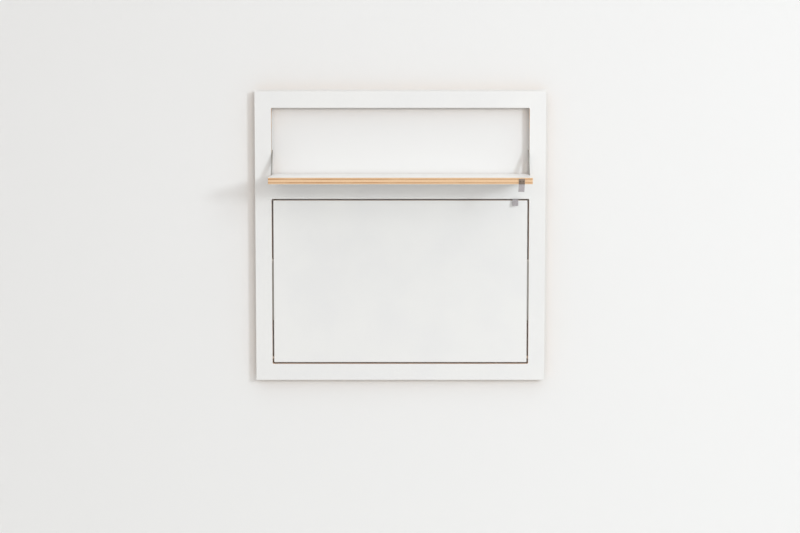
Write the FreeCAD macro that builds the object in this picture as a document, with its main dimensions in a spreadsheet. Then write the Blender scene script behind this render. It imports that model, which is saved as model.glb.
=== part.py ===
"""Fold-down wall desk: one plywood frame with two flaps cut into it, a shelf above and a desk below.

Millimetres. X runs to the right, Y towards the wall, Z up. The origin is on the wall's surface, in
the middle of the row of wall screws that the desk hangs from, so the board stands wall_gap in front
of it. The shelf is drawn folded down, the desk folded up. Every piece of a flap is drawn about its
hinge axis, and so in the mid-plane of the board; the pieces of the left side are those of the right
side turned half round about Z.
"""

import FreeCAD, Part
import math
import os
import re

import Sketcher

SIZES = {
    # the board and the frame that is cut from it
    "board_thickness": 18,
    "wall_gap": 7,
    "opening_width": 709,
    "shelf_opening_height": 207,
    "desk_opening_height": 458.5,
    "stile_width": 45.5,
    "top_rail_height": 46,
    "middle_rail_height": 43,
    "bottom_rail_height": 45.5,
    "opening_corner_radius": 3,
    "outer_corner_radius": 1.5,
    "edge_break": 0.4,
    # the flaps' gaps in their openings
    "side_gap": 4.5,
    "top_gap": 4,
    "bottom_gap": 4.5,
    "open_angle": 90,
    # clearances
    "running_clearance": 0.05,
    "fixed_clearance": 0.02,
    "axial_clearance": 0.3,
    # hinge pins, which go in through the stiles, with a bush in the flap and a spacer in the gap
    "hinge_edge_distance": 12,
    "hinge_pin_diameter": 6,
    "hinge_pin_reach": 22,
    "hinge_pin_recess": 1,
    "hinge_pin_slot_width": 1.2,
    "hinge_pin_slot_depth": 1,
    "hinge_pin_chamfer": 0.5,
    "hinge_bush_wall": 1.5,
    "hinge_bush_length": 24,
    "hinge_spacer_wall": 1,
    # struts: the pivot's radius about the hinge, and how far below the closed flap's top edge the
    # guide pin at the strut's upper end then stands
    "desk_pivot_radius": 107,
    "desk_guide_drop": 167,
    "shelf_pivot_radius": 47,
    "shelf_guide_drop": 56,
    "strut_width": 12,
    "strut_thickness": 2.5,
    "strut_pin_diameter": 6,
    "strut_pin_depth": 18,
    "strut_pin_proud": 0.3,
    "strut_collar_diameter": 10,
    "strut_collar_thickness": 0.5,
    "guide_pin_diameter": 6,
    "guide_washer_diameter": 13,
    # the channels let into the stiles, which the guide pins slide in
    "channel_wall": 1.2,
    "channel_play": 0.3,
    "channel_depth": 8,
    # catch magnets in the flaps' side edges and in the stiles
    "magnet_diameter": 10,
    "magnet_thickness": 5,
    "magnet_drop": 30,
    # pull tabs of webbing, each under a plate on its flap's top edge
    "tab_width": 16,
    "tab_thickness": 1,
    "shelf_tab_edge_distance": 29,
    "desk_tab_edge_distance": 34,
    "tab_root_length": 15,
    "tab_free_length": 20,
    "tab_fold_clearance": 0.3,
    "tab_plate_thickness": 0.8,
    "tab_plate_margin": 0.4,
    "tab_screw_spacing": 8,
    "tab_screw_diameter": 2,
    "tab_screw_length": 10,
    "tab_screw_head_diameter": 3.6,
    "tab_screw_head_height": 0.5,
    # hanging rails between the top rail and the wall
    "rail_length": 600,
    "rail_sheet": 1.5,
    "rail_top_margin": 4,
    "hook_plate_height": 11,
    "hook_lip_height": 13,
    "wall_plate_height": 14,
    "lip_play": 0.3,
    "lip_top_play": 0.8,
    "lip_wall_distance": 2,
    "wall_hole_diameter": 5,
    "wall_hole_end_distance": 20,
    "wall_hole_inner_spacing": 200,
    "hook_screw_end_distance": 25,
    "hook_screw_diameter": 3.5,
    "hook_screw_length": 12,
    "hook_screw_head_diameter": 7,
    "hook_screw_head_height": 2.2,
    # rubber buffers that keep the frame off the wall
    "buffer_diameter": 25,
    "buffer_edge_distance": 23,
}

HOOK_SCREW_COUNT = 6
TOLERANCE = 1e-6
SIDES = {"left": 180, "right": 0}
NAMES = re.compile(r"\b(" + "|".join(SIZES) + r")\b")

# Places that several pieces share, as formulas of the sizes.
FRAME_WIDTH = "(opening_width + 2 * stile_width)"
FRAME_HEIGHT = (
    "(bottom_rail_height + desk_opening_height + middle_rail_height"
    " + shelf_opening_height + top_rail_height)"
)
FRAME_TOP = "(rail_top_margin + hook_plate_height + hook_lip_height + wall_plate_height / 2)"
FRAME_BOTTOM = f"({FRAME_TOP} - {FRAME_HEIGHT})"
SHELF_OPENING_TOP = f"({FRAME_TOP} - top_rail_height)"
SHELF_OPENING_BOTTOM = f"({SHELF_OPENING_TOP} - shelf_opening_height)"
DESK_OPENING_TOP = f"({SHELF_OPENING_BOTTOM} - middle_rail_height)"
DESK_OPENING_BOTTOM = f"({DESK_OPENING_TOP} - desk_opening_height)"
BOARD_Y = "(0 - wall_gap - board_thickness / 2)"
OPENING_EDGE = "(opening_width / 2)"
FLAP_EDGE = "(opening_width / 2 - side_gap)"
STRUT_INNER_FACE = "(opening_width / 2 - (side_gap + strut_thickness) / 2)"
STRUT_OUTER_FACE = "(opening_width / 2 - (side_gap - strut_thickness) / 2)"
HINGE_BUSH_DIAMETER = "(hinge_pin_diameter + 2 * running_clearance + 2 * hinge_bush_wall)"
CHANNEL_SLOT = "(guide_pin_diameter + 2 * channel_play)"
CHANNEL_WIDTH = f"({CHANNEL_SLOT} + 2 * channel_wall)"
TAB_SCREW_Y = "((tab_root_length - board_thickness) / 2)"
TAB_PIVOT_Y = "(0 - board_thickness / 2 - tab_fold_clearance - tab_thickness / 2)"
HOOK_SCREW_Z = f"({FRAME_TOP} - rail_top_margin - (hook_plate_height - rail_sheet) / 2)"


class Flap:
    """One flap: its hinge axis, its angle as drawn, its tab, and what is measured up from that axis."""

    def __init__(self, name, opening_bottom, rest_angle):
        self.name = name
        self.axis_z = f"({opening_bottom} + bottom_gap + hinge_edge_distance)"
        self.top = f"({name}_opening_height - top_gap - bottom_gap - hinge_edge_distance)"
        self.magnet = f"({self.top} - magnet_drop)"
        self.tab_x = f"({FLAP_EDGE} - {name}_tab_edge_distance)"
        self.tab_screw_xs = [f"({self.tab_x} + {sign} * tab_screw_spacing / 2)" for sign in (-1, 1)]
        self.rest = f"({rest_angle})"
        self.pivot = f"{name}_pivot_radius"
        self.strut = f"({self.top} - {name}_guide_drop - {self.pivot})"
        self.upright = f"placement(vector(0; {BOARD_Y}; {self.axis_z}); rotationx(0))"
        self.frame = f"{self.upright} * placement(vector(0; 0; 0); rotationx({self.rest}))"

    def lean(self, angle):
        """The strut's lean from upright towards the wall when the flap is open by angle."""
        return f"asin({self.pivot} / {self.strut} * sin({angle}))"

    def guide_height(self, angle):
        """The guide pin's height above the hinge axis when the flap is open by angle."""
        return f"({self.pivot} * cos({angle}) + {self.strut} * cos({self.lean(angle)}))"


SHELF = Flap("shelf", SHELF_OPENING_BOTTOM, "open_angle * 1 deg")
DESK = Flap("desk", DESK_OPENING_BOTTOM, "0 deg")
FLAPS = (SHELF, DESK)

document = FreeCAD.newDocument("fold_down_wall_desk")


def make_sheet():
    """The spreadsheet that holds every driving size under its alias."""
    sheet = document.addObject("Spreadsheet::Sheet", "Sizes")
    for row, (name, size) in enumerate(SIZES.items(), start=1):
        sheet.set(f"A{row}", name)
        sheet.set(f"B{row}", str(size))
        sheet.setAlias(f"B{row}", name)
    document.recompute()
    return sheet


def sized(formula):
    """A formula of the sizes as an expression on the sheet."""
    return NAMES.sub(r"Sizes.\g<0>", formula)


def value(formula):
    """What a formula comes to, as a number."""
    result = sheet.evalExpression(sized(formula))
    return float(getattr(result, "Value", result))


def bind(thing, **formulas):
    """Ties properties of an object to formulas of the sizes; __ in a name stands for a dot."""
    for name, formula in formulas.items():
        thing.setExpression(name.replace("__", "."), sized(formula))


# ---- sketches


def make_body(label, placement=None):
    body = document.addObject("PartDesign::Body", label)
    body.Label = label
    if placement:
        bind(body, Placement=placement)
    return body


def origin_feature(body, role):
    return next(f for f in body.Origin.OriginFeatures if f.Role == role)


def make_sketch(body, role, offset="0"):
    """A sketch on one of the body's own planes, moved along the plane's normal by offset."""
    sketch = body.newObject("Sketcher::SketchObject", f"{body.Label}_sketch")
    sketch.AttachmentSupport = [(origin_feature(body, role), "")]
    sketch.MapMode = "FlatFace"
    bind(sketch, AttachmentOffset__Base__z=offset)
    return sketch


def constrain(sketch, formula, kind, *where):
    """Adds one driving constraint whose value is a formula of the sizes."""
    index = sketch.addConstraint(Sketcher.Constraint(kind, *where, value(formula)))
    sketch.setExpression(f"Constraints[{index}]", sized(formula))


def pin_point(sketch, geometry, point, across, up):
    """Fixes a point of the sketch at two distances from its origin."""
    constrain(sketch, across, "DistanceX", -1, 1, geometry, point)
    constrain(sketch, up, "DistanceY", -1, 1, geometry, point)


def draw_polygon(sketch, corners):
    """A closed outline of straight lines through corners given as (across, up) formulas."""
    points = [FreeCAD.Vector(value(across), value(up), 0) for across, up in corners]
    first = sketch.GeometryCount
    for start, end in zip(points, points[1:] + points[:1]):
        sketch.addGeometry(Part.LineSegment(start, end), False)
    for index, (across, up) in enumerate(corners):
        following = (index + 1) % len(corners)
        sketch.addConstraint(
            Sketcher.Constraint("Coincident", first + index, 2, first + following, 1)
        )
        pin_point(sketch, first + index, 1, across, up)


def draw_rectangle(sketch, left, right, bottom, top):
    draw_polygon(sketch, [(left, bottom), (right, bottom), (right, top), (left, top)])


def draw_circle(sketch, across, up, diameter):
    centre = FreeCAD.Vector(value(across), value(up), 0)
    index = sketch.addGeometry(
        Part.Circle(centre, FreeCAD.Vector(0, 0, 1), value(diameter) / 2), False
    )
    pin_point(sketch, index, 3, across, up)
    constrain(sketch, diameter, "Diameter", index)


def draw_upright_slot(sketch, low, high, width):
    """A slot about the sketch's vertical axis, with its end arcs centred at low and high."""
    radius, low_end, high_end = value(width) / 2, value(low), value(high)

    def arc(height, start):
        centre = FreeCAD.Vector(0, height, 0)
        circle = Part.Circle(centre, FreeCAD.Vector(0, 0, 1), radius)
        return sketch.addGeometry(Part.ArcOfCircle(circle, start, start + math.pi), False)

    def side(across, start, end):
        line = Part.LineSegment(
            FreeCAD.Vector(across, start, 0), FreeCAD.Vector(across, end, 0)
        )
        return sketch.addGeometry(line, False)

    upper, left = arc(high_end, 0), side(-radius, high_end, low_end)
    lower, right = arc(low_end, math.pi), side(radius, low_end, high_end)
    around = (upper, left, lower, right)
    for piece, following in zip(around, around[1:] + around[:1]):
        sketch.addConstraint(Sketcher.Constraint("Tangent", piece, 2, following, 1))
    sketch.addConstraint(Sketcher.Constraint("Equal", upper, lower))
    pin_point(sketch, upper, 3, "0", high)
    pin_point(sketch, lower, 3, "0", low)
    constrain(sketch, f"{width} / 2", "Radius", upper)


# ---- features


def add_feature(body, kind, **properties):
    feature = body.newObject(f"PartDesign::{kind}", f"{body.Label}_{kind.lower()}")
    for name, setting in properties.items():
        setattr(feature, name, setting)
    return feature


def pad(body, sketch, length, side="One side"):
    feature = add_feature(body, "Pad", Profile=sketch, SideType=side)
    bind(feature, Length=length)
    document.recompute()
    return feature


def pocket(body, sketch, depth=None, side="One side", reverse=False):
    """Cuts the sketch into the body, through all of it where no depth is given."""
    before = body.Shape.Volume
    feature = add_feature(body, "Pocket", Profile=sketch, SideType=side, Reversed=reverse)
    if depth is None:
        feature.Type = "ThroughAll"
    else:
        bind(feature, Length=depth)
    document.recompute()
    if not before - body.Shape.Volume > TOLERANCE:
        raise RuntimeError(f"{feature.Label} in {body.Label} cuts nothing")
    return feature


def mirror_left(body, features):
    """Repeats features of the right side on the left side of the body."""
    plane = (origin_feature(body, "YZ_Plane"), [""])
    body.Tip = add_feature(body, "Mirrored", Originals=features, MirrorPlane=plane)
    document.recompute()


def edge_names(shape, wanted):
    return [f"Edge{i}" for i, edge in enumerate(shape.Edges, start=1) if wanted(edge)]


def is_same(first, second):
    return abs(first - second) < TOLERANCE


def lies_in_face(edge):
    """Is the edge in the board's front or back face?"""
    depths = [vertex.Point.y for vertex in edge.Vertexes]
    return is_same(min(depths), max(depths))


def round_corners(body, radius, wanted):
    """Rounds those corners of a board, edges that run through it, that wanted(point) picks."""
    names = edge_names(
        body.Tip.Shape,
        lambda edge: not lies_in_face(edge) and wanted(edge.Vertexes[0].Point),
    )
    feature = add_feature(body, "Fillet", Base=(body.Tip, names))
    bind(feature, Radius=radius)
    document.recompute()


def break_edges(body):
    """Takes the sharp edges off a board's front and back faces."""
    names = edge_names(body.Tip.Shape, lies_in_face)
    feature = add_feature(body, "Chamfer", Base=(body.Tip, names))
    bind(feature, Size="edge_break")
    document.recompute()


def make_turned(label, placement, profile):
    """A piece turned about the X axis; profile holds its (along, radius) corners."""
    body = make_body(label, placement)
    sketch = make_sketch(body, "XY_Plane")
    draw_polygon(sketch, profile)
    add_feature(body, "Revolution", Profile=sketch, ReferenceAxis=(sketch, ["H_Axis"]), Angle=360)
    document.recompute()
    return body


def make_ring(label, placement, start, end, bore, diameter):
    """A sleeve or washer about the X axis."""
    inner, outer = f"{bore} / 2", f"{diameter} / 2"
    return make_turned(
        label, placement, [(start, inner), (end, inner), (end, outer), (start, outer)]
    )


def on_side(place, side):
    """A right-hand place, or the same turned half round about Z for the left."""
    return f"{place} * placement(vector(0; 0; 0); rotationz({SIDES[side]}))"


# ---- the frame


def make_frame():
    """The board with its two openings, the grooves and bores in its stiles and its pilot holes."""
    body = make_body("frame", f"placement(vector(0; {BOARD_Y}; 0); rotationx(0))")
    outline = make_sketch(body, "XZ_Plane")
    for edge, low, high in (
        (f"{FRAME_WIDTH} / 2", FRAME_BOTTOM, FRAME_TOP),
        (OPENING_EDGE, DESK_OPENING_BOTTOM, DESK_OPENING_TOP),
        (OPENING_EDGE, SHELF_OPENING_BOTTOM, SHELF_OPENING_TOP),
    ):
        draw_rectangle(outline, f"0 - {edge}", edge, low, high)
    pad(body, outline, "board_thickness", "Symmetric")

    opening_edge = value(OPENING_EDGE)
    round_corners(
        body, "opening_corner_radius", lambda point: is_same(abs(point.x), opening_edge)
    )
    heights = value(FRAME_BOTTOM), value(FRAME_TOP)
    round_corners(
        body,
        "outer_corner_radius",
        lambda point: any(is_same(point.z, height) for height in heights),
    )
    break_edges(body)
    for flap in FLAPS:
        cut_stiles(body, flap)
    pilots = make_sketch(body, "XZ_Plane", "0 - board_thickness / 2")
    pilot = "hook_screw_diameter + 2 * fixed_clearance"
    for index in range(HOOK_SCREW_COUNT):
        draw_circle(pilots, hook_screw_x(index), HOOK_SCREW_Z, pilot)
    pocket(body, pilots, "hook_screw_length - rail_sheet", reverse=True)
    return body


def cut_stiles(body, flap):
    """Both stiles' bores for one flap's hinge pins, and their grooves and magnet seats."""
    bores = make_sketch(body, "YZ_Plane")
    draw_circle(bores, "0", flap.axis_z, "hinge_pin_diameter + 2 * fixed_clearance")
    pocket(body, bores, side="Symmetric")
    grooves = make_sketch(body, "YZ_Plane")
    draw_upright_slot(
        grooves,
        f"({flap.axis_z} + {flap.guide_height('open_angle * 1 deg')})",
        f"({flap.axis_z} + {flap.guide_height('0 deg')})",
        f"({CHANNEL_WIDTH} + 2 * fixed_clearance)",
    )
    pocket(body, grooves, "opening_width + 2 * (channel_depth + fixed_clearance)", "Symmetric")
    seats = make_sketch(body, "YZ_Plane")
    height = f"({flap.axis_z} + {flap.magnet})"
    draw_circle(seats, "0", height, "magnet_diameter + 2 * fixed_clearance")
    pocket(body, seats, "opening_width + 2 * (magnet_thickness + fixed_clearance)", "Symmetric")


def make_channel(flap, side):
    """The channel that a guide pin slides in; its lower end is the stop of the open flap."""
    body = make_body(f"{flap.name}_guide_channel_{side}", on_side(flap.upright, side))
    low, high = flap.guide_height("open_angle * 1 deg"), flap.guide_height("0 deg")
    outer = make_sketch(body, "YZ_Plane", OPENING_EDGE)
    draw_upright_slot(outer, low, high, CHANNEL_WIDTH)
    pad(body, outer, "channel_depth")
    inner = make_sketch(body, "YZ_Plane", OPENING_EDGE)
    draw_upright_slot(inner, low, high, CHANNEL_SLOT)
    pocket(body, inner, "channel_depth - channel_wall", reverse=True)
    return body


# ---- the flaps


def make_panel(flap):
    """A flap's board, drawn upright about its hinge axis."""
    body = make_body(f"{flap.name}_panel", flap.frame)
    outline = make_sketch(body, "XZ_Plane")
    draw_rectangle(
        outline, f"0 - {FLAP_EDGE}", FLAP_EDGE, "0 - hinge_edge_distance", flap.top
    )
    pad(body, outline, "board_thickness", "Symmetric")
    round_corners(body, "outer_corner_radius", lambda point: True)
    break_edges(body)
    bores = (
        ("0", f"{HINGE_BUSH_DIAMETER} + 2 * fixed_clearance", "hinge_bush_length + fixed_clearance"),
        (flap.pivot, "strut_pin_diameter + 2 * fixed_clearance", "strut_pin_depth + fixed_clearance"),
        (flap.magnet, "magnet_diameter + 2 * fixed_clearance", "magnet_thickness + fixed_clearance"),
    )
    features = []
    for height, diameter, depth in bores:
        sketch = make_sketch(body, "YZ_Plane", FLAP_EDGE)
        draw_circle(sketch, "0", height, diameter)
        features.append(pocket(body, sketch, depth))
    mirror_left(body, features)
    pilots = make_sketch(body, "XY_Plane", flap.top)
    for across in flap.tab_screw_xs:
        draw_circle(pilots, across, TAB_SCREW_Y, "tab_screw_diameter + 2 * fixed_clearance")
    pocket(body, pilots, "tab_screw_length")
    return body


def make_hinge_pin(flap, side):
    """The pin pushed in through the stile, with a screwdriver slot in its outer end."""
    outer_end = f"({FRAME_WIDTH} / 2 - hinge_pin_recess)"
    inner_end = f"({FLAP_EDGE} - hinge_pin_reach)"
    radius, tip_radius = "hinge_pin_diameter / 2", "(hinge_pin_diameter / 2 - hinge_pin_chamfer)"
    body = make_turned(
        f"{flap.name}_hinge_pin_{side}",
        on_side(flap.upright, side),
        [
            (inner_end, "0"),
            (outer_end, "0"),
            (outer_end, tip_radius),
            (f"{outer_end} - hinge_pin_chamfer", radius),
            (f"{inner_end} + hinge_pin_chamfer", radius),
            (inner_end, tip_radius),
        ],
    )
    slot = make_sketch(body, "YZ_Plane", outer_end)
    draw_rectangle(
        slot,
        "0 - hinge_pin_diameter",
        "hinge_pin_diameter",
        "0 - hinge_pin_slot_width / 2",
        "hinge_pin_slot_width / 2",
    )
    pocket(body, slot, "hinge_pin_slot_depth")
    return body


def make_hinge_spacer(flap, side):
    """The spacer on the hinge pin that keeps the flap in the middle of its opening."""
    bore = "(hinge_pin_diameter + 2 * fixed_clearance)"
    return make_ring(
        f"{flap.name}_hinge_spacer_{side}",
        on_side(flap.upright, side),
        f"({FLAP_EDGE} + axial_clearance)",
        OPENING_EDGE,
        bore,
        f"({bore} + 2 * hinge_spacer_wall)",
    )


def make_hinge_bush(flap, side):
    return make_ring(
        f"{flap.name}_hinge_bush_{side}",
        on_side(flap.frame, side),
        f"({FLAP_EDGE} - hinge_bush_length)",
        FLAP_EDGE,
        "(hinge_pin_diameter + 2 * running_clearance)",
        HINGE_BUSH_DIAMETER,
    )


def make_magnets(flap, side):
    """The magnet in the flap's side edge and the one that faces it in the stile."""
    radius = "magnet_diameter / 2"
    seats = (
        ("panel", flap.frame, f"({FLAP_EDGE} - magnet_thickness)", FLAP_EDGE),
        ("stile", flap.upright, OPENING_EDGE, f"({OPENING_EDGE} + magnet_thickness)"),
    )
    return [
        make_turned(
            f"{flap.name}_{where}_magnet_{side}",
            on_side(f"{place} * placement(vector(0; 0; {flap.magnet}); rotationx(0))", side),
            [(start, "0"), (end, "0"), (end, radius), (start, radius)],
        )
        for where, place, start, end in seats
    ]


# ---- the struts


def pivot_place(flap):
    """The place of the strut's pivot on the flap."""
    return f"{flap.frame} * placement(vector(0; 0; {flap.pivot}); rotationx(0))"


def strut_place(flap):
    """The strut's own frame: its pivot at the origin and its guide pin straight above."""
    turn = f"0 deg - {flap.rest} - {flap.lean(flap.rest)}"
    return f"{pivot_place(flap)} * placement(vector(0; 0; 0); rotationx({turn}))"


def make_strut_pin(flap, side):
    """The pin in the flap's edge that the strut turns on, with a collar to stand it off."""
    buried_end = f"({FLAP_EDGE} - strut_pin_depth)"
    collar_face = f"({FLAP_EDGE} + strut_collar_thickness)"
    free_end = f"({STRUT_OUTER_FACE} + strut_pin_proud)"
    radius, collar_radius = "strut_pin_diameter / 2", "strut_collar_diameter / 2"
    return make_turned(
        f"{flap.name}_strut_pin_{side}",
        on_side(pivot_place(flap), side),
        [
            (buried_end, "0"),
            (free_end, "0"),
            (free_end, radius),
            (collar_face, radius),
            (collar_face, collar_radius),
            (FLAP_EDGE, collar_radius),
            (FLAP_EDGE, radius),
            (buried_end, radius),
        ],
    )


def make_strut(flap, side):
    """The flat steel bar with a hole at each rounded end."""
    body = make_body(f"{flap.name}_strut_{side}", on_side(strut_place(flap), side))
    outline = make_sketch(body, "YZ_Plane", STRUT_INNER_FACE)
    draw_upright_slot(outline, "0", flap.strut, "strut_width")
    pad(body, outline, "strut_thickness")
    holes = make_sketch(body, "YZ_Plane", STRUT_OUTER_FACE)
    draw_circle(holes, "0", "0", "strut_pin_diameter + 2 * running_clearance")
    draw_circle(holes, "0", flap.strut, "guide_pin_diameter + 2 * fixed_clearance")
    pocket(body, holes)
    return body


def make_guide_pin(flap, side):
    """The pin through the strut's upper end, and the washer that keeps the strut off the stile.

    The pin ends with the washer, short of the channel in the stile.
    """
    top = f"{strut_place(flap)} * placement(vector(0; 0; {flap.strut}); rotationx(0))"
    end = f"({OPENING_EDGE} - axial_clearance)"
    radius = "guide_pin_diameter / 2"
    pin = make_turned(
        f"{flap.name}_guide_pin_{side}",
        on_side(top, side),
        [(STRUT_INNER_FACE, "0"), (end, "0"), (end, radius), (STRUT_INNER_FACE, radius)],
    )
    washer = make_ring(
        f"{flap.name}_guide_washer_{side}",
        on_side(top, side),
        STRUT_OUTER_FACE,
        end,
        "(guide_pin_diameter + 2 * fixed_clearance)",
        "guide_washer_diameter",
    )
    return [pin, washer]


# ---- the pull tabs


def make_tab_layer(label, flap, margin, start, thickness):
    """A flat piece on the flap's top edge, from the front arris back, with two screw holes."""
    body = make_body(label, flap.frame)
    base = f"({flap.top} + {start})"
    outline = make_sketch(body, "XY_Plane", base)
    draw_rectangle(
        outline,
        f"{flap.tab_x} - tab_width / 2",
        f"{flap.tab_x} + tab_width / 2",
        f"{margin} - board_thickness / 2",
        f"tab_root_length - {margin} - board_thickness / 2",
    )
    pad(body, outline, thickness)
    holes = make_sketch(body, "XY_Plane", f"{base} + {thickness}")
    for across in flap.tab_screw_xs:
        draw_circle(holes, across, TAB_SCREW_Y, "tab_screw_diameter + 2 * fixed_clearance")
    pocket(body, holes)
    return body


def make_tab_end(flap):
    """The free end of the webbing, which hangs from the front arris of the top edge."""
    pivot = f"vector(0; {TAB_PIVOT_Y}; {flap.top} + tab_thickness / 2)"
    place = f"{flap.frame} * placement({pivot}; rotationx(0 deg - {flap.rest}))"
    body = make_body(f"{flap.name}_tab_end", place)
    outline = make_sketch(body, "XY_Plane", "tab_thickness / 2 - tab_free_length")
    draw_rectangle(
        outline,
        f"{flap.tab_x} - tab_width / 2",
        f"{flap.tab_x} + tab_width / 2",
        "0 - tab_thickness / 2",
        "tab_thickness / 2",
    )
    pad(body, outline, "tab_free_length")
    return body


def make_tab(flap):
    root = make_tab_layer(f"{flap.name}_tab_root", flap, "0", "0", "tab_thickness")
    plate = make_tab_layer(
        f"{flap.name}_tab_plate", flap, "tab_plate_margin", "tab_thickness", "tab_plate_thickness"
    )
    seat = f"({flap.top} + tab_thickness + tab_plate_thickness)"
    heads = [
        f"{flap.frame} * placement(vector({across}; {TAB_SCREW_Y}; {seat}); rotationx(180))"
        for across in flap.tab_screw_xs
    ]
    screws = make_screws(f"{flap.name}_tab_screws", "tab_screw", heads)
    return [root, plate, screws, make_tab_end(flap)]


# ---- screws, rails and buffers


def make_cylinder(name, place, diameter, height):
    cylinder = document.addObject("Part::Cylinder", name)
    bind(cylinder, Radius=f"{diameter} / 2", Height=height, Placement=place)
    return cylinder


def make_compound(label, pieces):
    compound = document.addObject("Part::Compound", label)
    compound.Label = label
    compound.Links = pieces
    return compound


def make_screws(label, kind, places):
    """Equal screws as one group; each place has its origin under the head and +Z into the hole."""
    screws = []
    for index, place in enumerate(places, start=1):
        name = f"{label}_{index}"
        under = f"{place} * placement(vector(0; 0; 0 - {kind}_head_height); rotationx(0))"
        head = make_cylinder(
            f"{name}_head", under, f"{kind}_head_diameter", f"{kind}_head_height"
        )
        shank = make_cylinder(f"{name}_shank", place, f"{kind}_diameter", f"{kind}_length")
        screw = document.addObject("Part::Fuse", name)
        screw.Base, screw.Tool = head, shank
        screws.append(screw)
    return make_compound(label, screws)


def hook_screw_x(index):
    """The screws' places in an even row from end to end of the rail."""
    share = index / (HOOK_SCREW_COUNT - 1) - 1 / 2
    return f"({share} * (rail_length - 2 * hook_screw_end_distance))"


def make_rail(label, profile, hole_xs, hole_z, diameter):
    """A folded sheet rail: a (Y, Z) profile along X, with a row of holes through its plate."""
    body = make_body(label)
    section = make_sketch(body, "YZ_Plane")
    draw_polygon(section, profile)
    pad(body, section, "rail_length", "Symmetric")
    holes = make_sketch(body, "XZ_Plane")
    for across in hole_xs:
        draw_circle(holes, across, hole_z, diameter)
    pocket(body, holes, side="Symmetric")
    return body


def make_rails():
    """The hook rail on the back of the top rail, hung on the rail that is screwed to the wall."""
    top = f"({FRAME_TOP} - rail_top_margin)"
    board_back = "(0 - wall_gap)"
    plate_face = "(rail_sheet - wall_gap)"
    hook_bend = f"({top} - hook_plate_height)"
    lip_back = "(0 - lip_wall_distance)"
    lip_front = "(0 - lip_wall_distance - rail_sheet)"
    lip_end = f"({hook_bend} + rail_sheet - hook_lip_height)"
    hook = make_rail(
        "frame_hook_rail",
        [
            (board_back, top),
            (board_back, hook_bend),
            (lip_front, hook_bend),
            (lip_front, lip_end),
            (lip_back, lip_end),
            (lip_back, f"{hook_bend} + rail_sheet"),
            (plate_face, f"{hook_bend} + rail_sheet"),
            (plate_face, top),
        ],
        [hook_screw_x(index) for index in range(HOOK_SCREW_COUNT)],
        HOOK_SCREW_Z,
        "hook_screw_diameter + 2 * fixed_clearance",
    )
    catch_back = f"({lip_front} - lip_play)"
    catch_front = f"({catch_back} - rail_sheet)"
    foot = f"({lip_end} - rail_sheet - wall_plate_height)"
    outer_spacing = "(rail_length - 2 * wall_hole_end_distance)"
    wall = make_rail(
        "wall_rail",
        [
            ("0", foot),
            ("0", lip_end),
            (catch_back, lip_end),
            (catch_back, f"{hook_bend} - lip_top_play"),
            (catch_front, f"{hook_bend} - lip_top_play"),
            (catch_front, f"{lip_end} - rail_sheet"),
            ("0 - rail_sheet", f"{lip_end} - rail_sheet"),
            ("0 - rail_sheet", foot),
        ],
        [
            f"{sign} * {spacing} / 2"
            for sign in (-1, 1)
            for spacing in (outer_spacing, "wall_hole_inner_spacing")
        ],
        f"{foot} + wall_plate_height / 2",
        "wall_hole_diameter",
    )
    places = [
        f"placement(vector({hook_screw_x(index)}; {plate_face}; {HOOK_SCREW_Z}); rotationx(90))"
        for index in range(HOOK_SCREW_COUNT)
    ]
    return [hook, wall, make_screws("hook_rail_screws", "hook_screw", places)]


def make_buffers():
    """Rubber buffers behind the stiles, at the frame's foot and beside the middle rail."""
    across = f"({FRAME_WIDTH} / 2 - buffer_edge_distance)"
    heights = (
        f"({FRAME_BOTTOM} + buffer_edge_distance)",
        f"({DESK_OPENING_TOP} + middle_rail_height / 2)",
    )
    buffers = []
    for sign in (-1, 1):
        for height in heights:
            place = f"placement(vector({sign} * {across}; 0; {height}); rotationx(90))"
            name = f"wall_buffer_{len(buffers) + 1}"
            buffers.append(make_cylinder(name, place, "buffer_diameter", "wall_gap"))
    return make_compound("wall_buffers", buffers)


# ---- the whole


def make_parts():
    parts = [make_frame(), *make_rails(), make_buffers()]
    for flap in FLAPS:
        parts.append(make_panel(flap))
        parts.extend(make_tab(flap))
        for side in SIDES:
            for make in (make_hinge_pin, make_hinge_spacer, make_hinge_bush, make_channel):
                parts.append(make(flap, side))
            for make in (make_strut_pin, make_strut):
                parts.append(make(flap, side))
            parts.extend(make_guide_pin(flap, side))
            parts.extend(make_magnets(flap, side))
    return parts


def check(parts):
    """Stops the build if anything in the document failed or a sub-part isn't a valid solid."""
    failed = [
        thing.Name
        for thing in document.Objects
        if {"Invalid", "Error"} & set(thing.State)
    ]
    if failed:
        raise RuntimeError(f"failed objects: {failed}")
    for part in parts:
        shape = part.Shape
        if shape.isNull() or not shape.isValid() or not shape.Solids:
            raise RuntimeError(f"{part.Label} has no valid solid")


sheet = make_sheet()
parts = make_parts()
document.recompute()
check(parts)
os.makedirs("parts", exist_ok=True)
for part in parts:
    part.Shape.exportStep(f"parts/{part.Label}.step")
print(f"{len(parts)} sub-parts, {sum(len(part.Shape.Solids) for part in parts)} solids")
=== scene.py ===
"""Looks of the fold-down wall desk: finishes of the CAD parts, pull tabs, screws, buffers, the room.

Metres, in the frame of the CAD model: X to the right, Y into the wall, Z up, the wall's surface at
y = 0. The shelf is open and the desk is closed.
"""

import math

import bmesh
import bpy
from mathutils import Matrix, Vector


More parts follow.
